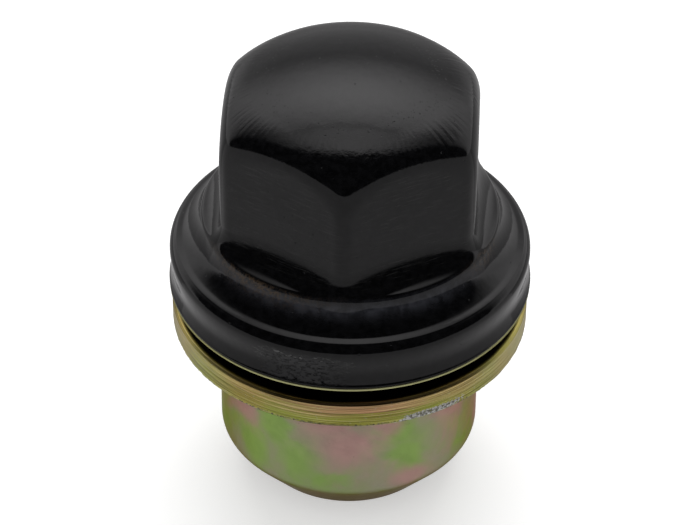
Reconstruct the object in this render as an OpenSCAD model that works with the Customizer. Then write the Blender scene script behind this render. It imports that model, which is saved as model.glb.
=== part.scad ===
// Capped wheel lug nut with a captive washer, standing on its threaded end.
// A drawn sheet cap covers a plated nut, so the cap's outside, its inside and the nut's core are
// one form at three insets: zero, the sheet's thickness, and the sheet plus the press clearance.

/* [Hexagon] */
// Width across the cap's flats
hex_across_flats = 27; // [24:0.5:30]
// Radius of the hexagon's upright corners
hex_corner_r = 2; // [1.2:0.1:3]

/* [Dome] */
// Height of the crown above the brim
head_h = 21.9; // [20:0.1:26]
// Radius of the crown
crown_r = 28.7; // [24:0.1:40]
// Radius of the shoulder between the crown and the upright sides
shoulder_r = 8.2; // [5:0.1:10]
// How far the dome's widest circle lies outside the hexagon's corners
dome_margin = 0.8; // [0.3:0.1:1.2]

/* [Flange] */
// How far the skirt's lower edge stands out past the shank
flange_overhang = 5.4; // [4.5:0.1:7]
// How far the rounded edge lies inside the skirt's lower edge
edge_inset = 0.15; // [0:0.05:0.4]
// Radius of the rounded edge between brim and skirt
bead_r = 1.4; // [1.3:0.1:1.8]
// How far the skirt's waist lies inside its lower edge
waist_inset = 0.4; // [0.2:0.05:0.6]
// Height of the waist above the skirt's lower edge
waist_h = 1.6; // [1:0.1:2.4]
// Height of the skirt from its lower edge to the top of its rounded edge
skirt_h = 5.5; // [5:0.1:8]
// Slope of the brim where it runs into the rounded edge, in degrees
brim_slope = 25; // [15:1:35]
// Height of the collar above the top of the rounded edge
collar_h = 3.4; // [2.8:0.1:4]
// How far the collar stands out past the hexagon's corners
collar_step = 0.8; // [0.5:0.1:1]
// Slope of the shelf between the collar and the flats, in degrees
shelf_slope = 30; // [22:1:40]

/* [Shank] */
// Diameter of the shank
shank_d = 28.6; // [26:0.1:30]
// Length of the straight shank from the nose to the washer
shank_l = 14.2; // [10:0.1:24]
// Height of the conical nose
nose_h = 5.3; // [3:0.1:8]
// Diameter of the flat end of the nose
nose_end_d = 19.7; // [18.8:0.1:23]
// Height of the plated lip that shows below the skirt
lip_h = 0.4; // [0.2:0.1:0.8]
// How far the plated lip lies inside the skirt's lower edge
lip_inset = 0.05; // [0.05:0.05:0.4]

/* [Thread] */
// Minor diameter of the thread, the wall of the tapped hole
thread_minor_d = 14.4; // [12:0.1:16]
// Width of the countersink at each end of the thread
countersink = 1.1; // [0.6:0.1:1.3]

/* [Washer] */
// How far the washer's rim lies inside the skirt's lower edge
washer_inset = 0.3; // [0:0.05:1]
// Thickness of the washer
washer_t = 3.2; // [2.4:0.1:5]
// Chamfer round the washer's outer edges
washer_edge = 0.25; // [0.1:0.05:0.5]
// Chamfer under the washer's hole, which sits over the swaged lip
washer_chamfer = 1; // [0.8:0.1:1.3]
// Distance the washer can rise before it meets the flange
washer_float = 2; // [0.5:0.1:4]

/* [Sheet and clearances] */
// Thickness of the cap's sheet
sheet_t = 0.8; // [0.5:0.05:1.2]
// Clearance between the cap's inside and the nut's core
press_clear = 0.1; // [0.05:0.05:0.2]
// Radial clearance between the shank and the washer
washer_clear = 0.35; // [0.2:0.05:0.5]
// Height of the swaged lip over the shank
swage_h = 0.8; // [0.6:0.05:1]
// Clearance between the swaged lip and the washer's chamfer
swage_clear = 0.12; // [0.05:0.01:0.2]
// Open space between the core's flat top and the crown's inside
crown_gap = 3.5; // [2.5:0.1:6]

/* [Hidden] */
$fn = 96;
// Extra length that carries a cut past the face it leaves
past = 1;

// Heights, from the end of the nose upwards
washer_z = nose_h + shank_l;
washer_top_z = washer_z + washer_t;
flange_z = washer_top_z + washer_float;
skirt_z = flange_z + lip_h;
waist_z = skirt_z + waist_h;
brim_z = skirt_z + skirt_h;
bead_z = brim_z - bead_r;
collar_z = brim_z + collar_h;
apex_z = brim_z + head_h;
core_top_z = apex_z - sheet_t - crown_gap;

// Radii
hex_r = hex_across_flats / 2;
corner_centre_r = (hex_r - hex_corner_r) / cos(30);
hex_out_r = corner_centre_r + hex_corner_r;
collar_r = hex_out_r + collar_step;
dome_r = hex_out_r + dome_margin;
shank_r = shank_d / 2;
skirt_r = shank_r + flange_overhang;
edge_r = skirt_r - edge_inset;
waist_r = skirt_r - waist_inset;
nose_end_r = nose_end_d / 2;
thread_r = thread_minor_d / 2;
washer_r = skirt_r - washer_inset;
washer_hole_r = shank_r + washer_clear;
swage_r = shank_r + swage_h;

// The shoulder's centre, where the shoulder is tangent to the crown and to the dome's widest circle
shoulder_x = dome_r - shoulder_r;
shoulder_z = apex_z - crown_r + sqrt(pow(crown_r - shoulder_r, 2) - pow(shoulder_x, 2));
// Radius at which the crown runs into the shoulder
crown_edge_r = shoulder_x * crown_r / (crown_r - shoulder_r);

// The brim's hollow flare, which is tangent to the rounded edge and rises upright against the collar
bead_x = edge_r - bead_r;
flare_r = (bead_x + bead_r * sin(brim_slope) - collar_r) / (1 - sin(brim_slope));
flare_x = collar_r + flare_r;
flare_z = bead_z + (bead_r + flare_r) * cos(brim_slope);
// Radius of the collar's ridge, and the shelf's inner end, which lies inside the hexagon
ridge_r = flare_x - sqrt(pow(flare_r, 2) - pow(max(flare_z - collar_z, 0), 2));
shelf_in_r = hex_r - hex_corner_r;

// Where the swaged lip's upper cone, parallel to the washer's chamfer, starts and ends
swage_cone_z = washer_z + washer_chamfer + washer_hole_r - swage_clear * sqrt(2);
swage_z = swage_cone_z - swage_r;

// Hexagon with round corners, drawn at an inset from the cap's outside
module round_hexagon(inset) {
    flat_l = 2 * corner_centre_r * sin(30);
    for (turn = [0, 60, 120])
        rotate(turn) square([2 * (hex_r - inset), flat_l], center = true);
    for (turn = [30:60:330])
        rotate(turn) translate([corner_centre_r, 0]) circle(hex_corner_r - inset);
}

// Half section of the dome: crown, shoulder and the upright side below it
module dome_profile(inset) {
    intersection() {
        union() {
            intersection() {
                translate([0, apex_z - crown_r]) circle(crown_r - inset);
                translate([0, shoulder_z]) square([crown_edge_r * (crown_r - inset) / crown_r, crown_r]);
            }
            translate([shoulder_x, shoulder_z]) circle(shoulder_r - inset);
            translate([0, bead_z]) square([dome_r - inset, shoulder_z - bead_z]);
        }
        translate([0, bead_z]) square([dome_r, head_h + bead_r]);
    }
}

// Height of the shelf at a radius, at an inset from the cap's outside
function shelf_z(r, inset) = collar_z + (ridge_r - r) * tan(shelf_slope) - inset / cos(shelf_slope);

// Half section of the flange: skirt, waist, rounded edge, flared brim and shelf
module flange_profile(inset, base_z) {
    base_r = skirt_r + (skirt_r - waist_r) * (skirt_z - base_z) / waist_h;
    brim_r = bead_x + (bead_r - inset) * sin(brim_slope);
    polygon([
        [0, base_z],
        [base_r - inset, base_z],
        [waist_r - inset, waist_z],
        [edge_r - inset, bead_z],
        [0, bead_z]
    ]);
    translate([bead_x, bead_z]) circle(bead_r - inset);
    difference() {
        polygon([
            [0, bead_z],
            [bead_x, bead_z],
            [brim_r, bead_z + (bead_r - inset) * cos(brim_slope)],
            [brim_r, shelf_z(brim_r, inset)],
            [shelf_in_r, shelf_z(shelf_in_r, inset)],
            [0, shelf_z(shelf_in_r, inset)]
        ]);
        translate([flare_x, flare_z]) circle(flare_r + inset);
        translate([collar_r - inset, flare_z]) square([flare_r + inset, collar_h]);
    }
}

// The drawn form at an inset from the cap's outside, open to any depth below
module drawn_form(inset, base_z) {
    rotate_extrude() flange_profile(inset, base_z);
    intersection() {
        translate([0, 0, bead_z]) linear_extrude(head_h + bead_r) round_hexagon(inset);
        rotate_extrude() dome_profile(inset);
    }
}

module cap() {
    color([0.05, 0.05, 0.055]) difference() {
        drawn_form(0, skirt_z);
        drawn_form(sheet_t, skirt_z - past);
    }
}

// Half section of the nut below the cap: lip, shank, swaged lip and nose
module shank_profile() {
    polygon([
        [0, 0],
        [nose_end_r, 0],
        [shank_r, nose_h],
        [shank_r, swage_z - swage_h],
        [swage_r, swage_z],
        [shank_r, swage_cone_z - shank_r],
        [shank_r, flange_z],
        [skirt_r - lip_inset, flange_z],
        [skirt_r - lip_inset, skirt_z],
        [0, skirt_z]
    ]);
}

// The tapped hole, countersunk at both ends
module tapped_hole() {
    translate([0, 0, -past]) cylinder(h = core_top_z + 2 * past, r = thread_r);
    translate([0, 0, -past])
        cylinder(h = countersink + past, r1 = thread_r + countersink + past, r2 = thread_r);
    translate([0, 0, core_top_z - countersink])
        cylinder(h = countersink + past, r1 = thread_r, r2 = thread_r + countersink + past);
}

module nut_body() {
    color([0.60, 0.56, 0.38]) difference() {
        union() {
            intersection() {
                drawn_form(sheet_t + press_clear, skirt_z);
                cylinder(h = core_top_z, r = skirt_r);
            }
            rotate_extrude() shank_profile();
        }
        tapped_hole();
    }
}

module washer() {
    color([0.62, 0.56, 0.40]) rotate_extrude() polygon([
        [washer_hole_r, washer_z + washer_chamfer],
        [washer_hole_r + washer_chamfer, washer_z],
        [washer_r - washer_edge, washer_z],
        [washer_r, washer_z + washer_edge],
        [washer_r, washer_top_z - washer_edge],
        [washer_r - washer_edge, washer_top_z],
        [washer_hole_r, washer_top_z]
    ]);
}

cap();
nut_body();
washer();
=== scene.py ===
"""Capped wheel lug nut: a gloss black drawn cap over a yellow-zinc nut, with a captive washer."""

import math

import bpy
import numpy as np
from mathutils import Matrix, Vector


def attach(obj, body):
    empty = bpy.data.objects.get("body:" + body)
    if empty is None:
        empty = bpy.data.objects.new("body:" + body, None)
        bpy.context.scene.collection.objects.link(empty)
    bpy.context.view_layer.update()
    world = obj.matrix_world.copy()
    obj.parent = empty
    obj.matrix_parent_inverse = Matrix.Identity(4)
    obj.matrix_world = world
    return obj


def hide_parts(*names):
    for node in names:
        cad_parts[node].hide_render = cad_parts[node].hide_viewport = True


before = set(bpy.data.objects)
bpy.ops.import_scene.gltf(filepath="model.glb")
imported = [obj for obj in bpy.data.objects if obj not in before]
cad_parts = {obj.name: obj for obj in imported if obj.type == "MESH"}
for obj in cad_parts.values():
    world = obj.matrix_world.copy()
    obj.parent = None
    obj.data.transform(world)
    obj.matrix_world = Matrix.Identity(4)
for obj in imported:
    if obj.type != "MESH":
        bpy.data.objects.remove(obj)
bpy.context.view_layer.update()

# A millimetre in metres, and a sixth of a turn
MM = 0.001
SIXTH = math.radians(60)

# Sizes in millimetres, as in the part's source, with diameters as radii
HEX_R = 13.5
HEX_CORNER_R = 2.0
HEAD_H = 21.9
CROWN_R = 28.7
SHOULDER_R = 8.2
DOME_MARGIN = 0.8
FLANGE_OVERHANG = 5.4
EDGE_INSET = 0.15
BEAD_R = 1.4
WAIST_INSET = 0.4
WAIST_H = 1.6
SKIRT_H = 5.5
BRIM_SLOPE = math.radians(25)
COLLAR_H = 3.4
COLLAR_STEP = 0.8
SHANK_R = 14.3
SHANK_L = 14.2
NOSE_H = 5.3
NOSE_END_R = 9.85
LIP_H = 0.4
LIP_INSET = 0.05
THREAD_R = 7.2
COUNTERSINK = 1.1
WASHER_INSET = 0.3
WASHER_T = 3.2
WASHER_EDGE = 0.25
WASHER_CHAMFER = 1.0
WASHER_FLOAT = 2.0
SHEET = 0.8
PRESS_CLEAR = 0.1
WASHER_CLEAR = 0.35
SWAGE_H = 0.8
SWAGE_CLEAR = 0.12
CROWN_GAP = 3.5

# Heights that follow, from the end of the nose upwards
WASHER_Z = NOSE_H + SHANK_L
WASHER_TOP_Z = WASHER_Z + WASHER_T
FLANGE_Z = WASHER_TOP_Z + WASHER_FLOAT
SKIRT_Z = FLANGE_Z + LIP_H
WAIST_Z = SKIRT_Z + WAIST_H
BRIM_Z = SKIRT_Z + SKIRT_H
BEAD_Z = BRIM_Z - BEAD_R
COLLAR_Z = BRIM_Z + COLLAR_H
APEX_Z = BRIM_Z + HEAD_H
CORE_TOP_Z = APEX_Z - SHEET - CROWN_GAP

# Radii that follow, and the centres of the arcs
HEX_OUT_R = (HEX_R - HEX_CORNER_R) / math.cos(SIXTH / 2) + HEX_CORNER_R
SKIRT_R = SHANK_R + FLANGE_OVERHANG
EDGE_R = SKIRT_R - EDGE_INSET
WAIST_R = SKIRT_R - WAIST_INSET
LIP_R = SKIRT_R - LIP_INSET
BEAD_X = EDGE_R - BEAD_R
BRIM_R = BEAD_X + BEAD_R * math.sin(BRIM_SLOPE)
COLLAR_R = HEX_OUT_R + COLLAR_STEP
FLARE_R = (BRIM_R - COLLAR_R) / (1 - math.sin(BRIM_SLOPE))
FLARE_X = COLLAR_R + FLARE_R
FLARE_Z = BEAD_Z + (BEAD_R + FLARE_R) * math.cos(BRIM_SLOPE)
RIDGE_R = FLARE_X - math.sqrt(FLARE_R ** 2 - (FLARE_Z - COLLAR_Z) ** 2)
DOME_R = HEX_OUT_R + DOME_MARGIN
CROWN_Z = APEX_Z - CROWN_R
SHOULDER_X = DOME_R - SHOULDER_R
SHOULDER_Z = CROWN_Z + math.sqrt((CROWN_R - SHOULDER_R) ** 2 - SHOULDER_X ** 2)
WASHER_R = SKIRT_R - WASHER_INSET
WASHER_HOLE_R = SHANK_R + WASHER_CLEAR
SWAGE_R = SHANK_R + SWAGE_H
SWAGE_CONE_Z = WASHER_Z + WASHER_CHAMFER + WASHER_HOLE_R - SWAGE_CLEAR * math.sqrt(2)
SWAGE_Z = SWAGE_CONE_Z - SWAGE_R

# The thread's own form, which the part's source leaves as a plain wall
THREAD_PITCH = 1.5
THREAD_DEPTH = 0.8

# Small forms that the part's source leaves out, in millimetres, and the shelf's slope, a little
# flatter than the source's
SHELF_SLOPE = math.radians(25)
DOME_EDGE_R = 1.1
RIM_DIP = 0.06
RIM_JOIN_R = 0.15
HOLLOW_R = 2.0
RIDGE_EDGE_R = 0.3
SHEET_EDGE_R = 0.2
NOSE_BEND_R = 1.6
PRESS_WAVE = 0.012

# How often the search for a surface halves its stretch of ray
HALVINGS = 32

# Patches of the plating's film: turn from the front in degrees, height, and reach both ways
FRONT = -87.3
FILM = {
    "pink": [
        (4, 12.0, 12, 3.6), (-6, 16.0, 14, 2.2), (18, 15.0, 9, 2.0), (30, 6.6, 9, 1.4),
        (50, 13.5, 9, 4.0), (-58, 15.0, 14, 3.6), (88, 9.0, 16, 3.4), (131, 13.0, 13, 4.0),
        (176, 8.5, 18, 3.2), (-98, 12.0, 15, 3.8), (-150, 15.0, 12, 3.0),
    ],
    "green": [
        (-22, 9.5, 11, 3.8), (-33, 13.0, 8, 2.6), (-10, 7.0, 9, 1.6), (26, 9.5, 8, 3.0),
        (22, 13.5, 7, 2.2), (-46, 9.5, 8, 3.0), (66, 9.0, 12, 3.6), (108, 14.0, 12, 3.0),
        (152, 9.5, 14, 3.8), (-76, 9.0, 13, 3.6), (-124, 10.0, 15, 3.6), (-168, 11.0, 9, 3.0),
    ],
}

# Wear of the paint: turn from the front in degrees, reach, and strength
DIRT = [(-38, 20, 1.0), (62, 10, 0.7), (140, 22, 0.8), (-140, 22, 0.8)]
FLECKS = [(-15, 11, 1.0), (150, 20, 0.8)]

# Columns of each piece round the axis
CAP_TURNS = 408
NUT_TURNS = 180
WASHER_TURNS = 480

# Radius of the half sphere that mirrors see, in metres
ROOM_R = 1.1


def round_meet(a, b, radius):
    """Where two forms meet in an outer edge, rounded: the larger of the two distances, and within a
    radius of the edge the distance to a circle that touches both."""
    corner = np.hypot(np.maximum(a + radius, 0), np.maximum(b + radius, 0))
    return np.minimum(-radius, np.maximum(a, b)) + corner


def round_join(a, b, radius):
    """Where two forms join in a hollow, filled by a fillet: the mirror image of round_meet."""
    return -round_meet(-a, -b, radius)


def hexagon_gap(r, turn):
    """Distance in plan to a hexagon with round corners: the turn is folded on to one sixth, and past
    the end of a flat the distance is taken to the corner's centre."""
    folded = (turn + SIXTH / 2) % SIXTH - SIXTH / 2
    across = r * np.cos(folded) - (HEX_R - HEX_CORNER_R)
    along = np.abs(r * np.sin(folded)) - (HEX_R - HEX_CORNER_R) * math.tan(SIXTH / 2)
    return np.where(along > 0, np.hypot(across, along), across) - HEX_CORNER_R


def dome_gap(r, z):
    """Distance in half section to the dome: the crown's arc, the shoulder's arc and the upright side,
    each within the sector that it spans."""
    crown = np.hypot(r, z - CROWN_Z) - CROWN_R
    shoulder = np.hypot(r - SHOULDER_X, z - SHOULDER_Z) - SHOULDER_R
    below = np.where(z < SHOULDER_Z, r - DOME_R, shoulder)
    return np.where(r * (SHOULDER_Z - CROWN_Z) < (z - CROWN_Z) * SHOULDER_X, crown, below)


def skirt_radius(z):
    """The skirt's radius by height: two smooth steps that leave a waist between them."""
    rise = np.clip((z - WAIST_Z) / (BEAD_Z - WAIST_Z), 0, 1)
    fall = np.clip((WAIST_Z - z) / (WAIST_Z - SKIRT_Z), 0, 1)
    upper = (EDGE_R - WAIST_R) * rise ** 2 * (3 - 2 * rise)
    return WAIST_R + upper + (SKIRT_R - WAIST_R) * fall ** 1.5


def head_gap(r, turn, z):
    """The domed hexagon, cut off inside the flange."""
    head = round_meet(dome_gap(r, z), hexagon_gap(r, turn), DOME_EDGE_R)
    return np.maximum(head, BRIM_Z - z)


def flange_gap(r, z):
    """The round flange in half section: the skirt with its rounded edge, the brim outside the flare's
    circle, which dips a little inside the edge, and the shelf's slope, which meets the flare in a
    softened ridge."""
    edge = round_meet(r - skirt_radius(z), z - BRIM_Z, BEAD_R)
    flare = np.maximum(FLARE_R + RIM_DIP - np.hypot(r - FLARE_X, z - FLARE_Z), r - BRIM_R)
    shelf = (r - RIDGE_R) * math.sin(SHELF_SLOPE) + (z - COLLAR_Z) * math.cos(SHELF_SLOPE)
    return round_join(edge, round_meet(flare, shelf, RIDGE_EDGE_R), RIM_JOIN_R)


def drawn_gap(r, turn, z):
    """The whole drawn form: head and flange joined by a fillet, with faint waves from the press."""
    wave = np.sin(0.9 * z + 2 * turn) * np.sin(3 * turn + 0.35 * r) + np.sin(0.5 * r + 0.4 * z - turn)
    wave = wave * (1 - np.exp(-(r / 5) ** 2))
    return round_join(head_gap(r, turn, z), flange_gap(r, z), HOLLOW_R) + PRESS_WAVE * (2 + wave)


def fan(centre, start, stop, count):
    """Rays from one centre, as rows of foot and direction; their angle above level runs from start to
    stop in degrees, the start left out."""
    angle = np.radians(start + (stop - start) * np.arange(1, count + 1) / count)
    feet = np.broadcast_to(np.array(centre, float), (count, 2))
    return np.concatenate([feet, np.stack([np.cos(angle), np.sin(angle)], 1)], 1)


def aim(centre, reach, start, stop, count):
    """Rays that run in from a reach away towards one centre in front of a hollow."""
    rays = fan(centre, start, stop, count)
    rays[:, :2] -= reach * rays[:, 2:]
    return rays


def march(first, last, angle, count):
    """Parallel rays at one angle, their feet spaced along a line, the first left out."""
    share = np.arange(1, count + 1)[:, None] / count
    feet = np.array(first, float) * (1 - share) + np.array(last, float) * share
    level = np.broadcast_to([math.cos(math.radians(angle)), math.sin(math.radians(angle))], (count, 2))
    return np.concatenate([feet, level], 1)


def drawn_rays(fineness):
    """Rays that leave the drawn form squarely all the way from its crown to the skirt, each group with
    the length of its rays: a fan over the dome, level rays on the flats, rays towards a point before
    each hollow, and fans over each edge."""
    def count(rows):
        return max(2, round(rows * fineness))

    dome_fan_z = 43.0
    flats_foot_r = 8
    skirt_foot_r = 16
    under_sheet = 2.5
    hollow_room = 5.5
    hollow_reach = 8.0
    square_on = 90 - math.degrees(SHELF_SLOPE)
    flare = np.array((FLARE_X, FLARE_Z))
    reach = FLARE_R + under_sheet
    ridge = math.asin((FLARE_Z - COLLAR_Z) / FLARE_R)
    behind = flare - reach * np.array((math.cos(ridge), math.sin(ridge)))
    before = behind + hollow_room * np.array((math.sin(SHELF_SLOPE), math.cos(SHELF_SLOPE)))
    level_off = 90 - math.degrees(BRIM_SLOPE)
    skirt_foot = (skirt_foot_r, SKIRT_Z + SHEET_EDGE_R)
    return [
        (fan((0, dome_fan_z), 90, 0, count(76)), 20.0),
        (march((flats_foot_r, dome_fan_z), (flats_foot_r, before[1]), 0, count(14)), 10.0),
        (aim(before, hollow_reach, 0, square_on, count(42)), hollow_reach),
        (fan(behind, square_on, math.degrees(ridge), count(34)), 5.0),
        (aim(flare, reach, math.degrees(ridge), level_off, count(46)), reach),
        (fan((BEAD_X, BEAD_Z), level_off, 0, count(26)), 4.0),
        (march((skirt_foot_r, BEAD_Z), skirt_foot, 0, count(16)), 5.0),
    ]


def meet(fineness, turns, form):
    """Where each ray leaves a form, at every turn about the axis: the stretch of ray that holds the
    surface is halved until it is far smaller than the finish. Gives radius and height grids."""
    radii = []
    heights = []
    for rays, reach in drawn_rays(fineness):
        near = np.zeros((len(rays), len(turns)))
        far = np.full_like(near, reach)
        for _ in range(HALVINGS):
            middle = (near + far) / 2
            r = rays[:, 0:1] + middle * rays[:, 2:3]
            z = rays[:, 1:2] + middle * rays[:, 3:4]
            inside = form(r, turns[None, :], z) < 0
            near = np.where(inside, middle, near)
            far = np.where(inside, far, middle)
        radii.append(rays[:, 0:1] + near * rays[:, 2:3])
        heights.append(rays[:, 1:2] + near * rays[:, 3:4])
    return np.concatenate(radii), np.concatenate(heights)


def turns_of(count):
    """Even turns about the axis, from minus a half turn, so that the first column is at the side."""
    return np.arange(count) * (2 * math.pi / count) - math.pi


def rings(profile, count):
    """A half section's points (radius, height) as grids with one column for each turn."""
    points = np.array(profile, float)
    return tuple(np.repeat(points[:, k:k + 1], count, 1) for k in (0, 1))


def along(points, gaps):
    """Points along straight runs: each run is divided into its own number of even gaps."""
    points = np.array(points, float)
    runs = [points[:1]]
    for start, stop, count in zip(points[:-1], points[1:], gaps):
        share = np.arange(1, count + 1)[:, None] / count
        runs.append(start * (1 - share) + stop * share)
    return np.concatenate(runs)


def arc(centre, radius, start, stop, count):
    """Points on a circular arc in half section, from one angle to another in degrees."""
    angle = np.radians(np.linspace(start, stop, count))
    return np.stack([centre[0] + radius * np.cos(angle), centre[1] + radius * np.sin(angle)], 1)


def ripple(turn, slowest, fastest, seed):
    """A wavy line round the axis that closes on itself: sines of whole numbers of waves per turn with
    seeded phases, of about unit size."""
    waves = np.arange(slowest, fastest + 1)
    phases = np.random.default_rng(seed).uniform(0, 2 * math.pi, len(waves))
    total = np.sin(np.asarray(turn)[..., None] * waves + phases).sum(-1)
    return total / math.sqrt(len(waves) / 2)


def smooth_step(value, low, high):
    """Nought below low, one above high, and a smooth ramp between."""
    share = np.clip((value - low) / (high - low), 0, 1)
    return share * share * (3 - 2 * share)


def bell(value, middle, reach, power=2):
    """One at the middle, falling off on both sides; a higher power has a flatter top."""
    return np.exp(-((value - middle) / reach) ** power)


def from_front(turns, place=0):
    """Turns in degrees from a place that is itself given from the front, between minus and plus 180."""
    return (np.degrees(turns) - FRONT - place + 180) % 360 - 180


def put_piece(name, r, z, turns, poles, marks):
    """Makes a mesh of a grid of rings: quads between neighbours, closed round the axis. With poles, a
    fan of triangles closes each end on the axis; without, the last ring is joined to the first."""
    rows, columns = r.shape
    points = np.stack([r * np.cos(turns), r * np.sin(turns), z], -1).reshape(-1, 3)
    index = np.arange(rows * columns).reshape(rows, columns)
    upper = index[:-1] if poles else index
    lower = index[1:] if poles else np.roll(index, -1, 0)
    quads = np.stack([upper, lower, np.roll(lower, -1, 1), np.roll(upper, -1, 1)], -1).reshape(-1, 4)
    corners = quads.ravel()
    starts = np.arange(len(quads)) * 4
    if poles:
        tips = np.array([[0, 0, height] for height in poles])
        first = np.full(columns, len(points))
        points = np.concatenate([points, tips])
        top = np.stack([first, index[0], np.roll(index[0], -1)], -1)
        end = np.stack([first + 1, np.roll(index[-1], -1), index[-1]], -1)
        fans = np.concatenate([top, end])
        starts = np.concatenate([starts, len(corners) + np.arange(len(fans)) * 3])
        corners = np.concatenate([corners, fans.ravel()])
    mesh = bpy.data.meshes.new(name)
    mesh.vertices.add(len(points))
    mesh.vertices.foreach_set("co", (points * MM).astype(np.float32).ravel())
    mesh.loops.add(len(corners))
    mesh.loops.foreach_set("vertex_index", corners.astype(np.int32))
    mesh.polygons.add(len(starts))
    mesh.polygons.foreach_set("loop_start", starts.astype(np.int32))
    mesh.polygons.foreach_set("use_smooth", np.ones(len(starts), bool))
    for mark, values in marks.items():
        filled = np.zeros(len(points), np.float32)
        filled[:rows * columns] = values.ravel()
        mesh.attributes.new(mark, "FLOAT", "POINT").data.foreach_set("value", filled)
    mesh.update(calc_edges=True)
    mesh.validate()
    piece = bpy.data.objects.new(name, mesh)
    bpy.context.scene.collection.objects.link(piece)
    return piece


def cap_marks(r, z, turns):
    """Where the paint differs, as numbers at the points: the flats, dirt along the collar, a painted
    reflection on the collar's front, flecks on the skirt, pits round the crown, and streaks and wear on
    the shoulder."""
    painted_sheen_z = COLLAR_Z - 1.1
    pit_ring_r = 9.2
    seen = from_front(turns)
    flat = smooth_step(hexagon_gap(r, turns) - dome_gap(r, z), 0.4, 1.4)
    flat = flat * smooth_step(z, COLLAR_Z, COLLAR_Z + 2.5)
    ridge = bell(np.hypot(r - RIDGE_R, z - COLLAR_Z), 0.4, 0.9) * smooth_step(r, RIDGE_R - 0.3, RIDGE_R)
    dirt = np.max([share * bell(seen, turn, reach) for turn, reach, share in DIRT], 0)
    # Painted reflection: a lighter band along the collar, strongest towards the front.
    painted_sheen = bell(z, painted_sheen_z, 0.75) * (r > RIDGE_R - 0.2) * bell(seen, 0, 58, 4)
    skirt = smooth_step(z, SKIRT_Z, SKIRT_Z + 0.8) * smooth_step(-z, -BEAD_Z, 0.8 - BEAD_Z)
    fleck = np.max([share * bell(seen, turn, reach, 4) for turn, reach, share in FLECKS], 0)
    on_dome = z > SHOULDER_Z
    shoulder = smooth_step(r, 10.0, 11.5) * smooth_step(-r, -13.8, -12.8) * on_dome
    return {
        "flat": flat,
        "dirt": ridge * dirt,
        "fleck": skirt * fleck,
        "pitted": bell(r, pit_ring_r, 0.9) * on_dome,
        "streak": ripple(turns, 60, 150, 8) * shoulder,
        "worn": shoulder * (0.4 + 0.6 * bell(seen, 0, 40)),
        "painted_sheen": painted_sheen,
    }


def make_cap():
    """The drawn cap: its outside from crown to skirt, the cut edge of the sheet, and its inside, which
    is the same form a sheet's thickness further in."""
    turns = turns_of(CAP_TURNS)
    out_r, out_z = meet(1.0, turns, drawn_gap)
    in_r, in_z = meet(0.2, turns, lambda r, turn, z: drawn_gap(r, turn, z) + SHEET)
    edge = np.concatenate([
        arc((SKIRT_R - SHEET_EDGE_R, SKIRT_Z + SHEET_EDGE_R), SHEET_EDGE_R, -30, -90, 3),
        [[SKIRT_R - SHEET, SKIRT_Z]],
    ])
    edge_r, edge_z = rings(edge, CAP_TURNS)
    r = np.concatenate([out_r, edge_r, in_r[::-1]])
    z = np.concatenate([out_z, edge_z, in_z[::-1]])
    poles = (out_z[0].mean(), in_z[0].mean())
    return put_piece("cap_skin", r, z, turns, poles, cap_marks(r, z, turns))


def thread_wall(turns):
    """The tapped hole's wall from the nose up: the radius is the minor radius plus a truncated
    triangle wave of height minus turn, and where a countersink is wider, the countersink's cone."""
    z = np.linspace(0, CORE_TOP_Z, round(CORE_TOP_Z / THREAD_PITCH * 12))[:, None]
    phase = (z / THREAD_PITCH - turns / (2 * math.pi)) % 1
    groove = np.clip(2.6 * (0.5 - np.abs(phase - 0.5)) - 0.15, 0, 1)
    sink = THREAD_R + COUNTERSINK - np.minimum(z, CORE_TOP_Z - z)
    r = np.maximum(THREAD_R + THREAD_DEPTH * groove, sink)
    return r, np.broadcast_to(z, r.shape)


def patches(r, turns, z, places):
    """Soft patches of the plating's film: the largest of bell curves about given places, each with its
    turn from the front in degrees, its height, and its reach both ways."""
    value = np.zeros(r.shape)
    for turn, height, wide, high in places:
        patch = bell(from_front(turns, turn), 0, 1.25 * wide) * bell(z, height, 1.25 * high)
        value = np.maximum(value, patch)
    return value


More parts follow.
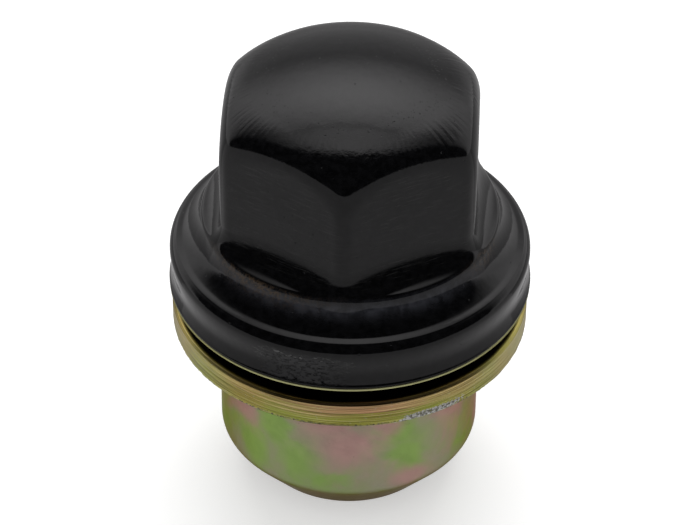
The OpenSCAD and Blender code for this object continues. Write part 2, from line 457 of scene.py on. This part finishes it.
def make_nut():
    """The plated nut: its core under the cap, the lip below the skirt, the shank with its swaged lip,
    the conical nose and the tapped hole, as one closed ring of rows."""
    turns = turns_of(NUT_TURNS)
    inset = SHEET + PRESS_CLEAR

    def core_gap(r, turn, z):
        return np.maximum(drawn_gap(r, turn, z) + inset, z - CORE_TOP_Z)

    core_r, core_z = meet(0.3, turns, core_gap)
    keep = core_r.min(1) > THREAD_R + COUNTERSINK + 0.3
    below = along([
        (SKIRT_R - inset, SKIRT_Z), (LIP_R - 0.08, SKIRT_Z), (LIP_R, SKIRT_Z - 0.08),
        (LIP_R, FLANGE_Z + 0.1), (LIP_R - 0.1, FLANGE_Z), (SHANK_R + 0.3, FLANGE_Z),
        (SHANK_R, FLANGE_Z - 0.3), (SHANK_R, SWAGE_CONE_Z - SHANK_R),
        (SWAGE_R - 0.1, SWAGE_Z + 0.1), (SWAGE_R - 0.1, SWAGE_Z - 0.1), (SHANK_R, SWAGE_Z - SWAGE_H),
    ], (1, 2, 2, 2, 5, 2, 4, 2, 2, 2))
    nose_turn = math.degrees(math.atan2(SHANK_R - NOSE_END_R, NOSE_H))
    back = NOSE_BEND_R * math.tan(math.radians(nose_turn) / 2)
    nose = np.concatenate([
        along([(SHANK_R, SWAGE_Z - SWAGE_H), (SHANK_R, NOSE_H + back)], (24,))[1:-1],
        arc((SHANK_R - NOSE_BEND_R, NOSE_H + back), NOSE_BEND_R, 0, -nose_turn, 8),
        along([(NOSE_END_R + 0.55, 0.66), (NOSE_END_R - 0.1, 0.05), (NOSE_END_R - 0.35, 0),
               (THREAD_R + COUNTERSINK + 0.05, 0)], (2, 2, 3)),
    ])
    below_r, below_z = rings(np.concatenate([below, nose]), NUT_TURNS)
    wall_r, wall_z = thread_wall(turns)
    r = np.concatenate([core_r[keep], below_r, wall_r])
    z = np.concatenate([core_z[keep], below_z, wall_z])
    marks = {name: patches(r, turns, z, places) for name, places in FILM.items()}
    # Painted highlight: the lip's lower corner is marked to be coloured lighter and paler than the rest
    # of the zinc.
    marks["lip"] = smooth_step(z, FLANGE_Z - 0.1, FLANGE_Z) * smooth_step(r, LIP_R - 0.4, LIP_R - 0.2)
    # Painted shade: the flange's underside and the shank just above the washer, where shade falls, are
    # marked to be coloured dark.
    marks["gap_shade"] = (z > WASHER_TOP_Z - 0.3) * (z < FLANGE_Z + 0.02)
    marks["gap_shade"] = marks["gap_shade"] * (r < LIP_R - 0.25) * (r > SHANK_R - 0.5)
    # Painted shade: the nose's lower end is marked to be coloured darker and browner, for the shade near
    # the floor.
    marks["nose"] = smooth_step(-z, -NOSE_H - 0.5, -NOSE_H + 1.5) * (r > NOSE_END_R - 1)
    return put_piece("nut_plated", r, z, turns, None, marks)


def make_washer():
    """The captive washer, a closed ring: hole with its chamfer, flat faces, and a rim with the marks
    of turning, ragged along its lower edge."""
    turns = turns_of(WASHER_TURNS)
    face = along([
        (WASHER_R - WASHER_EDGE, WASHER_TOP_Z), (WASHER_HOLE_R + 0.15, WASHER_TOP_Z),
        (WASHER_HOLE_R, WASHER_TOP_Z - 0.15), (WASHER_HOLE_R, WASHER_Z + WASHER_CHAMFER),
        (WASHER_HOLE_R + WASHER_CHAMFER, WASHER_Z), (WASHER_R - WASHER_EDGE, WASHER_Z),
    ], (10, 1, 4, 3, 8))
    rim = along([
        (WASHER_R - WASHER_EDGE, WASHER_Z), (WASHER_R, WASHER_Z + WASHER_EDGE),
        (WASHER_R, WASHER_TOP_Z - WASHER_EDGE), (WASHER_R - WASHER_EDGE, WASHER_TOP_Z),
    ], (4, 60, 4))[1:-1]
    r, z = rings(np.concatenate([face, rim]), WASHER_TURNS)
    on_rim = np.arange(len(r)) >= len(face)
    height = z - WASHER_Z
    coarse, plain, fine = 0.53, 0.31, 0.173
    lathe_depth = 0.014
    bite = 0.03
    cycle = 2 * math.pi * height
    lathe = 0.4 * np.sin(cycle / plain) + 0.3 * np.sin(cycle / fine + 1)
    lathe = lathe + 0.5 * np.sin(cycle / coarse + 0.6 * np.sin(2 * turns))
    low = smooth_step(-height, -0.5, -0.1)
    ragged = np.abs(ripple(turns, 40, 120, 4)) * bite + np.abs(ripple(turns, 90, 200, 5)) * bite
    r = r + on_rim[:, None] * (lathe_depth * lathe * smooth_step(height, 0.2, 0.6) - ragged * low)
    z = z + on_rim[:, None] * (0.8 * ragged * low)
    r = np.minimum(r, WASHER_R + 0.05)
    seen = from_front(turns)
    burr_turn = 27 + 5 * (height - 0.6)
    burr = smooth_step(-np.abs(seen - burr_turn), -13, -7)
    marks = {
        "burr": burr * smooth_step(-height, -1.25, -0.75) * on_rim[:, None],
        "warm": np.broadcast_to(bell(seen, 2, 34), r.shape),
        # painted shade on the upper face, under the flange
        "gap_shade": (z > WASHER_TOP_Z - 0.05) * (r < WASHER_R - WASHER_EDGE - 0.1),
    }
    return put_piece("washer_turned", r, z, turns, None, marks)


class Finish:
    """A material with short calls for the nodes that the finishes share. Patterns read Object
    coordinates brought to millimetres."""

    def __init__(self, name):
        self.material = bpy.data.materials.new(name)
        self.material.use_nodes = True
        self.tree = self.material.node_tree
        self.shader = self.tree.nodes["Principled BSDF"]
        place = self.tree.nodes.new("ShaderNodeTexCoord")
        scale = self.tree.nodes.new("ShaderNodeMapping")
        scale.inputs["Scale"].default_value = (1 / MM, 1 / MM, 1 / MM)
        self.tree.links.new(place.outputs["Object"], scale.inputs["Vector"])
        self.mm = scale.outputs["Vector"]

    def put(self, socket, value):
        """Sets a socket to a plain value, or links another node's output to it."""
        if isinstance(value, bpy.types.NodeSocket):
            self.tree.links.new(value, socket)
        else:
            socket.default_value = value

    def stretch(self, level, upright):
        """Millimetre coordinates scaled by one number in level directions and another upwards."""
        node = self.tree.nodes.new("ShaderNodeMapping")
        node.inputs["Scale"].default_value = (level, level, upright)
        self.tree.links.new(self.mm, node.inputs["Vector"])
        return node.outputs["Vector"]

    def noise(self, scale, detail=2.0, rough=0.5, place=None, bend=0.0):
        """Soft random hills from nought to one; a larger scale makes smaller hills."""
        node = self.tree.nodes.new("ShaderNodeTexNoise")
        self.put(node.inputs["Vector"], place or self.mm)
        node.inputs["Scale"].default_value = scale
        node.inputs["Detail"].default_value = detail
        node.inputs["Roughness"].default_value = rough
        node.inputs["Distortion"].default_value = bend
        return node.outputs["Fac"]

    def cells(self, scale):
        """Distance to the nearest of scattered points."""
        node = self.tree.nodes.new("ShaderNodeTexVoronoi")
        self.put(node.inputs["Vector"], self.mm)
        node.inputs["Scale"].default_value = scale
        return node.outputs["Distance"]

    def span(self, value, low, high, to_low=0.0, to_high=1.0):
        """A value's range from low to high carried smoothly to another range."""
        node = self.tree.nodes.new("ShaderNodeMapRange")
        node.interpolation_type = "SMOOTHSTEP"
        self.put(node.inputs["Value"], value)
        node.inputs["From Min"].default_value = low
        node.inputs["From Max"].default_value = high
        node.inputs["To Min"].default_value = to_low
        node.inputs["To Max"].default_value = to_high
        return node.outputs["Result"]

    def sum(self, kind, a, b):
        """Two numbers added, subtracted or multiplied."""
        node = self.tree.nodes.new("ShaderNodeMath")
        node.operation = kind
        self.put(node.inputs[0], a)
        self.put(node.inputs[1], b)
        return node.outputs["Value"]

    def blend(self, share, a, b):
        """A colour between two others."""
        node = self.tree.nodes.new("ShaderNodeMix")
        node.data_type = "RGBA"
        self.put(node.inputs["Factor"], share)
        self.put(node.inputs["A"], a)
        self.put(node.inputs["B"], b)
        return node.outputs["Result"]

    def ramp(self, share, stops):
        """Two colours, each at its place from nought to one."""
        node = self.tree.nodes.new("ShaderNodeValToRGB")
        node.color_ramp.interpolation = "EASE"
        for point, (place, colour) in zip(node.color_ramp.elements, stops):
            point.position = place
            point.color = (*colour, 1)
        self.put(node.inputs["Fac"], share)
        return node.outputs["Color"]

    def mark(self, name):
        """A number that the piece's mesh carries at its points."""
        node = self.tree.nodes.new("ShaderNodeAttribute")
        node.attribute_name = name
        return node.outputs["Fac"]

    def height(self):
        """Height above the nose's end in millimetres."""
        node = self.tree.nodes.new("ShaderNodeSeparateXYZ")
        self.tree.links.new(self.mm, node.inputs["Vector"])
        return node.outputs["Z"]

    def bump(self, value, depth, under=None):
        """Adds relief of a depth in millimetres over another relief."""
        node = self.tree.nodes.new("ShaderNodeBump")
        node.inputs["Strength"].default_value = 1.0
        node.inputs["Distance"].default_value = depth * MM
        self.put(node.inputs["Height"], value)
        if under:
            self.put(node.inputs["Normal"], under)
        return node.outputs["Normal"]

    def done(self, **values):
        """Puts the finished values on the shader, by its sockets' names, and gives the material."""
        for socket, value in values.items():
            self.put(self.shader.inputs[socket.replace("_", " ")], value)
        return self.material


def black_paint():
    """Gloss black paint: orange peel, pits round the crown, streaks and dimples on the shoulder, level
    scratches on the flats, flecks on the skirt, brown dirt along the collar, and a lighter bluish band
    on the collar's front that is a painted reflection."""
    paint = Finish("black_paint")
    flat = paint.mark("flat")
    peel = paint.noise(0.75, 2.0, 0.5)
    grain = paint.noise(6.0, 3.0, 0.6)
    film = paint.noise(0.35, 3.0, 0.6)
    mottle = paint.noise(1.3, 4.0, 0.7)
    pits = paint.span(paint.noise(3.2, 2.0, 0.6), 0.63, 0.74)
    pits = paint.sum("MULTIPLY", pits, paint.mark("pitted"))
    dots = paint.span(paint.cells(0.55), 0.03, 0.07, 1, 0)
    scratch = paint.span(paint.noise(1.0, 3.0, 0.7, paint.stretch(0.35, 11.0)), 0.54, 0.72)
    scratch = paint.sum("MULTIPLY", scratch, flat)
    flake = paint.span(paint.noise(1.0, 3.0, 0.65, paint.stretch(1.5, 3.2)), 0.52, 0.58)
    flake = paint.sum("MULTIPLY", flake, paint.mark("fleck"))
    speck = paint.span(paint.noise(2.4, 4.0, 0.7), 0.42, 0.62)
    dirt = paint.sum("MULTIPLY", speck, paint.mark("dirt"))
    black = paint.ramp(mottle, [(0.35, (0.0010, 0.0010, 0.0013)), (0.65, (0.0036, 0.0036, 0.0041))])
    colour = paint.blend(scratch, black, (0.021, 0.021, 0.020, 1))
    colour = paint.blend(paint.mark("fleck"), colour, (0.012, 0.012, 0.013, 1))
    colour = paint.blend(flake, colour, (0.0012, 0.0012, 0.0015, 1))
    # Painted reflection: lighter bluish grey on the collar's front, over the paint's own colour.
    painted_sheen = paint.span(paint.noise(0.8, 3.0, 0.6), 0.35, 0.65, 0.35, 1.0)
    painted_sheen = paint.sum("MULTIPLY", painted_sheen, paint.mark("painted_sheen"))
    colour = paint.blend(painted_sheen, colour, (0.034, 0.035, 0.042, 1))
    colour = paint.blend(dirt, colour, (0.058, 0.037, 0.020, 1))
    rough = paint.span(film, 0.3, 0.7, 0.05, 0.10)
    rough = paint.sum("ADD", rough, paint.sum("MULTIPLY", flat, 0.12))
    rough = paint.sum("ADD", rough, paint.sum("MULTIPLY", dirt, 0.35))
    relief = paint.bump(peel, 0.014)
    relief = paint.bump(grain, 0.0018, relief)
    relief = paint.bump(pits, -0.030, relief)
    relief = paint.bump(dots, -0.030, relief)
    relief = paint.bump(scratch, 0.004, relief)
    relief = paint.bump(flake, -0.10, relief)
    dimple = paint.sum("MULTIPLY", paint.noise(1.9, 3.0, 0.65), paint.mark("worn"))
    relief = paint.bump(dimple, 0.030, relief)
    relief = paint.bump(paint.mark("streak"), 0.0035, relief)
    return paint.done(Base_Color=colour, Roughness=rough, Normal=relief, IOR=1.38)


def nut_zinc():
    """Satin yellow zinc: olive grey with a thin film that turns green and pink in soft patches, a lip
    painted lighter as a painted highlight, a nose painted darker and browner as painted shade, and
    painted shade over the washer."""
    zinc = Finish("nut_zinc")
    drift = zinc.noise(0.18, 3.0, 0.55, bend=0.6)
    cloud = zinc.noise(0.6, 4.0, 0.65)
    sway = zinc.span(drift, 0.3, 0.7, -0.26, 0.26)
    olive = zinc.ramp(cloud, [(0.3, (0.245, 0.240, 0.150)), (0.7, (0.285, 0.272, 0.195))])
    green = zinc.span(zinc.sum("ADD", zinc.mark("green"), sway), 0.05, 1.0, 0, 0.9)
    pink = zinc.span(zinc.sum("SUBTRACT", zinc.mark("pink"), sway), 0.10, 1.05, 0, 0.9)
    colour = zinc.blend(green, olive, (0.205, 0.315, 0.085, 1))
    colour = zinc.blend(pink, colour, (0.370, 0.222, 0.205, 1))
    # Painted highlight: the lip's lower corner in a lighter, paler zinc colour.
    colour = zinc.blend(zinc.mark("lip"), colour, (0.46, 0.46, 0.24, 1))
    speck = zinc.span(zinc.noise(2.2, 3.0, 0.7), 0.68, 0.78, 0, 0.6)
    colour = zinc.blend(speck, colour, (0.090, 0.070, 0.040, 1))
    # Painted shade: dark colour over the washer, under the flange.
    colour = zinc.blend(zinc.mark("gap_shade"), colour, (0.030, 0.022, 0.008, 1))
    # Painted shade: darker brown on the nose's lower end, near the floor.
    colour = zinc.blend(zinc.sum("MULTIPLY", zinc.mark("nose"), 0.75), colour, (0.075, 0.052, 0.030, 1))
    grain = zinc.noise(5.0, 4.0, 0.7)
    rough = zinc.span(cloud, 0.3, 0.7, 0.34, 0.46)
    relief = zinc.bump(grain, 0.004)
    return zinc.done(Base_Color=colour, Roughness=rough, Normal=relief, Metallic=1.0,
                     Specular_Tint=(0.40, 0.33, 0.24, 1))


def washer_zinc():
    """Turned yellow zinc: level lines of the lathe, olive below and brown above, with a bare burr and
    dark chips along the lower edge, and painted shade on the upper face, under the flange."""
    zinc = Finish("washer_zinc")
    lines = zinc.noise(1.0, 4.0, 0.7, zinc.stretch(0.08, 5.0))
    fine = zinc.noise(1.0, 2.0, 0.6, zinc.stretch(0.12, 14.0))
    level = zinc.sum("ADD", zinc.height(), zinc.span(lines, 0.3, 0.7, -0.9, 0.9))
    upper = zinc.span(level, WASHER_Z + 1.2, WASHER_Z + 2.3)
    drift = zinc.noise(0.10, 2.0, 0.5)
    low = zinc.ramp(drift, [(0.35, (0.270, 0.300, 0.045)), (0.65, (0.330, 0.265, 0.050))])
    cool = zinc.ramp(drift, [(0.35, (0.390, 0.410, 0.095)), (0.65, (0.460, 0.360, 0.110))])
    high = zinc.blend(zinc.mark("warm"), cool, (0.500, 0.280, 0.150, 1))
    colour = zinc.blend(upper, low, high)
    colour = zinc.blend(zinc.span(fine, 0.52, 0.64, 0, 0.6), colour, (0.620, 0.540, 0.250, 1))
    colour = zinc.blend(zinc.span(fine, 0.48, 0.36, 0, 0.8), colour, (0.120, 0.100, 0.036, 1))
    chip = zinc.span(zinc.noise(3.0, 3.0, 0.7), 0.48, 0.56)
    lowest = zinc.span(zinc.height(), WASHER_Z + 0.30, WASHER_Z + 0.60, 1, 0)
    chip = zinc.sum("MULTIPLY", chip, lowest)
    colour = zinc.blend(chip, colour, (0.050, 0.042, 0.025, 1))
    chatter = zinc.noise(3.4, 3.0, 0.75)
    broken = zinc.span(chatter, 0.3, 0.7, -0.5, 0.5)
    burr = zinc.span(zinc.sum("ADD", zinc.mark("burr"), broken), 0.40, 0.60)
    silver = zinc.ramp(chatter, [(0.40, (0.110, 0.105, 0.090)), (0.58, (0.440, 0.440, 0.420))])
    colour = zinc.blend(burr, colour, silver)
    # Painted shade: dark colour on the upper face, under the flange.
    colour = zinc.blend(zinc.mark("gap_shade"), colour, (0.030, 0.022, 0.008, 1))
    grain = zinc.noise(7.0, 3.0, 0.6)
    relief = zinc.bump(lines, 0.02)
    relief = zinc.bump(fine, 0.012, relief)
    relief = zinc.bump(grain, 0.003, relief)
    rough = zinc.span(lines, 0.3, 0.7, 0.30, 0.42)
    return zinc.done(Base_Color=colour, Roughness=rough, Normal=relief, Metallic=1.0)


def dress(piece, material, node, body):
    """Gives a piece its finish, hides the solid from model.glb that it stands for, and hangs it on the
    body that it moves with.
    """
    piece.data.materials.append(material)
    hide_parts(node)
    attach(piece, body)


def place_camera():
    """The camera of the photograph: its height angle, its turn about the nut, its roll and its field,
    found by fitting the nut's rings and hexagon to the outline."""
    tilt = math.radians(38.6)
    turn = Matrix.Rotation(math.radians(2.67), 3, "Z")
    roll = math.radians(0.508)
    distance = 354.4 * MM
    target = Vector((0, 0, 26.33 * MM))
    back = turn @ Vector((0, -math.cos(tilt), math.sin(tilt)))
    level = turn @ Vector((1, 0, 0))
    above = turn @ Vector((0, math.sin(tilt), math.cos(tilt)))
    right = math.cos(roll) * level + math.sin(roll) * above
    up = math.cos(roll) * above - math.sin(roll) * level
    data = bpy.data.cameras.new("camera")
    data.sensor_fit = "HORIZONTAL"
    data.sensor_width = 36.0
    data.lens = 167.4
    data.clip_start = 0.01
    camera = bpy.data.objects.new("camera", data)
    placed = Matrix((right, up, back)).transposed().to_4x4()
    placed.translation = target + distance * back
    camera.matrix_world = placed
    bpy.context.scene.collection.objects.link(camera)
    bpy.context.scene.camera = camera


def seen_share(tree):
    """One for rays from the camera, mirrors or glass, and nought for the light itself."""
    path = tree.nodes.new("ShaderNodeLightPath")
    total = path.outputs["Is Camera Ray"]
    for name in ("Is Glossy Ray", "Is Transmission Ray"):
        either = tree.nodes.new("ShaderNodeMath")
        either.operation = "MAXIMUM"
        tree.links.new(total, either.inputs[0])
        tree.links.new(path.outputs[name], either.inputs[1])
        total = either.outputs["Value"]
    return total


def light_world():
    """A white room, dimmer as a light than it looks."""
    world = bpy.data.worlds.new("studio")
    bpy.context.scene.world = world
    world.use_nodes = True
    tree = world.node_tree
    sky = tree.nodes["Background"]
    sky.inputs["Color"].default_value = (1, 1, 1, 1)
    level = tree.nodes.new("ShaderNodeMapRange")
    level.inputs["To Min"].default_value = 0.55
    level.inputs["To Max"].default_value = 1.0
    tree.links.new(seen_share(tree), level.inputs["Value"])
    tree.links.new(level.outputs["Result"], sky.inputs["Strength"])


def lay_floor():
    """A pale floor that keeps the shadow, with a little glow of its own where it is seen."""
    half = 3.0
    corners = [(-half, -half, 0), (half, -half, 0), (half, half, 0), (-half, half, 0)]
    mesh = bpy.data.meshes.new("floor")
    mesh.from_pydata(corners, [], [(0, 1, 2, 3)])
    floor = bpy.data.objects.new("floor", mesh)
    bpy.context.scene.collection.objects.link(floor)
    pale = bpy.data.materials.new("pale_floor")
    pale.use_nodes = True
    shader = pale.node_tree.nodes["Principled BSDF"]
    shader.inputs["Base Color"].default_value = (0.86, 0.86, 0.86, 1)
    shader.inputs["Roughness"].default_value = 0.9
    shader.inputs["Specular IOR Level"].default_value = 0.0
    shader.inputs["Emission Color"].default_value = (1, 1, 1, 1)
    glow = pale.node_tree.nodes.new("ShaderNodeMapRange")
    glow.inputs["To Max"].default_value = 0.45
    pale.node_tree.links.new(seen_share(pale.node_tree), glow.inputs["Value"])
    pale.node_tree.links.new(glow.outputs["Result"], shader.inputs["Emission Strength"])
    mesh.materials.append(pale)


def hang_lamp():
    """A broad lamp overhead and behind, which mirrors don't see: the cards take its place there."""
    data = bpy.data.lights.new("lamp_over", "AREA")
    data.shape = "RECTANGLE"
    data.size = 0.90
    data.size_y = 0.62
    data.energy = 4.2
    place = Vector((0.0, 0.40, 0.75))
    lamp = bpy.data.objects.new("lamp_over", data)
    lamp.location = place
    lamp.visible_glossy = False
    lamp.rotation_euler = (Vector((0, 0, 0.03)) - place).to_track_quat("-Z", "Y").to_euler()
    bpy.context.scene.collection.objects.link(lamp)


def hang_card(name, grid, glow):
    """A card that only mirrors see, as a studio hangs one to keep gloss black dark: a sheet over a
    grid of points, each with its own brightness."""
    mesh = bpy.data.meshes.new(name)
    rows, columns = grid.shape[:2]
    index = np.arange(rows * columns).reshape(rows, columns)
    faces = np.stack([index[:-1, :-1], index[:-1, 1:], index[1:, 1:], index[1:, :-1]], -1)
    mesh.from_pydata(grid.reshape(-1, 3).tolist(), [], faces.reshape(-1, 4).tolist())
    mark = mesh.attributes.new("glow", "FLOAT", "POINT")
    filled = np.broadcast_to(glow, (rows, columns)).ravel().astype(np.float32)
    mark.data.foreach_set("value", filled)
    card = bpy.data.objects.new(name, mesh)
    card.visible_camera = False
    card.visible_diffuse = False
    card.visible_transmission = False
    card.visible_shadow = False
    bpy.context.scene.collection.objects.link(card)
    tone = bpy.data.materials.new(name)
    tone.use_nodes = True
    shader = tone.node_tree.nodes["Principled BSDF"]
    shader.inputs["Base Color"].default_value = (0, 0, 0, 1)
    shader.inputs["Specular IOR Level"].default_value = 0
    shader.inputs["Emission Color"].default_value = (1.0, 0.985, 0.995, 1)
    level = tone.node_tree.nodes.new("ShaderNodeAttribute")
    level.attribute_name = "glow"
    tone.node_tree.links.new(level.outputs["Fac"], shader.inputs["Emission Strength"])
    mesh.materials.append(tone)


def hang_soft_room():
    """The half sphere over the nut, by the angle over it from front to back and the angle sideways:
    black in front, a soft lamp overhead that is brightest a little behind, and grey at the back and
    to the right."""
    over = np.linspace(0, 180, 181)[:, None]
    side = np.linspace(-88, 88, 89)[None, :]
    rise, swing = np.radians(over), np.radians(side)
    across = np.broadcast_to(np.sin(swing), (over.size, side.size))
    grid = np.stack([across, -np.cos(swing) * np.cos(rise), np.cos(swing) * np.sin(rise)], -1)
    lamp = 1.5 * smooth_step(over, 82, 93) + smooth_step(over, 102, 120)
    lamp = lamp * (1 - smooth_step(over, 120, 154))
    seam = 1 - 0.35 * bell(over, 107, 1.2)
    width = 22 + 0.5 * np.maximum(over - 88, 0)
    lamp = lamp * seam * bell(side, 0, width)
    back = (0.38 + 0.50 * smooth_step(np.abs(side), 18, 42)) * smooth_step(over, 112, 150)
    right = smooth_step(over, 95, 115) * (1 - smooth_step(over, 115, 150))
    right = 0.35 * smooth_step(side, 35, 60) * right
    hang_card("soft_room", ROOM_R * grid, 0.02 + lamp + back + right)


def lay_mat(name, inner, height, start, stop, grey):
    """A flat grey ring just over the floor, from an inner radius out to the room's wall, between two
    turns in degrees."""
    turn = np.radians(np.linspace(start, stop, 73))
    radii = np.array((inner, ROOM_R))[:, None]
    level = np.full((2, turn.size), height)
    hang_card(name, np.stack([radii * np.cos(turn), radii * np.sin(turn), level], -1), grey)


def light_studio():
    """The white room, the floor, the lamp, and the cards that the gloss black mirrors."""
    light_world()
    lay_floor()
    hang_lamp()
    hang_soft_room()
    lay_mat("mat", 0.035, 0.0004, -180, 180, 0.55)
    lay_mat("mat_back", 0.055, 0.0006, 15, 165, 0.34)


cap = make_cap()
nut = make_nut()
washer = make_washer()
dress(cap, black_paint(), "cap", "nut")
dress(nut, nut_zinc(), "nut_body", "nut")
dress(washer, washer_zinc(), "washer", "washer")
place_camera()
light_studio()
bpy.context.scene.view_settings.view_transform = "Standard"
